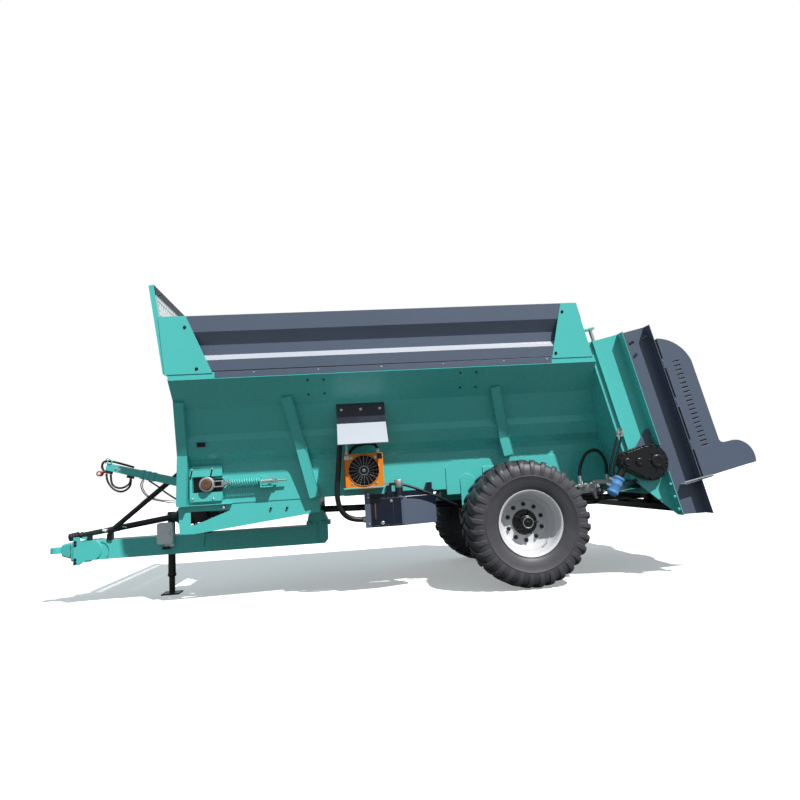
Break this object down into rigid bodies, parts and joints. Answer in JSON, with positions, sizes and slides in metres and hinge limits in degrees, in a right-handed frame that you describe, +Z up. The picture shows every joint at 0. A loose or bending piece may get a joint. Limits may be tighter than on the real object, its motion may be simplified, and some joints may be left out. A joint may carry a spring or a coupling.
{
  "type": "manure spreader",
  "caption": "Towed single-axle muck spreader: V body with moving floor, rear slurry door, leaning beaters with guards, drawbar, power shaft, oil tank and cooler.",
  "frame": {"origin": "on the ground under the middle of the overall length and width", "axes": "+Z up, +X to the rear of the machine, so the drawbar points to -X, and -Y is the machine's left-hand side"},
  "size_m": [6.9479, 2.403, 2.9507],
  "materials": {
    "tyre": "worn matt",
    "rim_silver": "satin",
    "dark_iron": "satin",
    "body_teal": "gloss",
    "dark_grey_paint": "gloss",
    "black_casting": "satin",
    "motor_blue": "satin",
    "rod_chrome": "polished",
    "cooler_yellow": "satin",
    "black_plastic": "satin",
    "steel_grey": "brushed",
    "shade_grey": "satin",
    "hose_rubber": "matt",
    "coupling_red": "gloss",
    "box_grey": "satin"
  },
  "bodies": {
    "chassis": {"axle": "dark_iron", "body_side_left": "body_teal", "body_side_right": "body_teal", "chain_tensioners": "body_teal", "cooler_shade": "shade_grey", "couplings": "coupling_red", "diagonal_strut": "dark_iron", "disc_floor": "body_teal", "document_box": "box_grey", "door_cylinders": "dark_grey_paint", "drawbar": "body_teal", "driveline": "dark_iron", "end_frame": "body_teal", "extension_boards": "dark_grey_paint", "extension_caps": "body_teal", "floor": "body_teal", "floor_chain": "dark_iron", "floor_gearbox": "black_casting", "floor_motor": "motor_blue", "floor_shafts": "dark_iron", "front_frame": "body_teal", "front_wall": "body_teal", "gear_case": "dark_grey_paint", "headboard": "body_teal", "headboard_screen": "body_teal", "hitch_eye": "body_teal", "hose_arm": "body_teal", "hose_clamps": "black_plastic", "hose_loop_long": "hose_rubber", "hose_loop_short": "hose_rubber", "hoses": "hose_rubber", "housings": "dark_grey_paint", "oil_cooler": "cooler_yellow", "oil_tank": "dark_grey_paint", "parking_jack": "dark_grey_paint", "pto_shaft": "black_plastic", "rear_frames": "body_teal", "shaft_bearings": "dark_grey_paint", "side_plates": "body_teal", "top_beam": "body_teal", "valve_block": "steel_grey"},
    "wheel_left": {"tyre_left": "tyre", "rim_left": "rim_silver", "hub_left": "dark_iron"},
    "wheel_right": {"tyre_right": "tyre", "rim_right": "rim_silver", "hub_right": "dark_iron"},
    "beater_left": {"beater_left": "dark_grey_paint"},
    "beater_right": {"beater_right": "dark_grey_paint"},
    "slurry_door": {"slurry_door": "body_teal", "door_rods": "rod_chrome"},
    "guard_left": {"guard_left": "dark_grey_paint"},
    "guard_right": {"guard_right": "dark_grey_paint"},
    "cooler_fan": {"cooler_fan": "black_plastic"}
  },
  "joints": [
    {"name": "wheel_left_spin", "type": "hinge", "parent": "chassis", "child": "wheel_left", "pos_m": [1.238, -0.95, 0.586], "axis": [0, 1, 0], "continuous": true},
    {"name": "wheel_right_spin", "type": "hinge", "parent": "chassis", "child": "wheel_right", "pos_m": [1.238, 0.95, 0.586], "axis": [0, 1, 0], "continuous": true},
    {"name": "beater_left_spin", "type": "hinge", "parent": "chassis", "child": "beater_left", "pos_m": [2.74534, -0.5, 2.22125], "axis": [-0.2164, 0, 0.9763], "continuous": true},
    {"name": "beater_right_spin", "type": "hinge", "parent": "chassis", "child": "beater_right", "pos_m": [2.74534, 0.5, 2.22125], "axis": [-0.2164, 0, 0.9763], "continuous": true},
    {"name": "slurry_door_lift", "type": "slide", "parent": "chassis", "child": "slurry_door", "axis": [-0.2164, 0, 0.9763], "range_m": [0, 0.85]},
    {"name": "guard_left_hinge", "type": "hinge", "parent": "chassis", "child": "guard_left", "pos_m": [2.75512, -1.191, 1.60885], "axis": [0.2164, 0, -0.9763], "range_deg": [0, 100]},
    {"name": "guard_right_hinge", "type": "hinge", "parent": "chassis", "child": "guard_right", "pos_m": [2.75512, 1.191, 1.60885], "axis": [-0.2164, 0, 0.9763], "range_deg": [0, 100]},
    {"name": "cooler_fan_spin", "type": "hinge", "parent": "chassis", "child": "cooler_fan", "pos_m": [-0.246, -0.893, 1.16], "axis": [0, 1, 0], "continuous": true}
  ],
  "couplings": [
    {"joint": "beater_right_spin", "follows": "beater_left_spin", "ratio": -1}
  ]
}
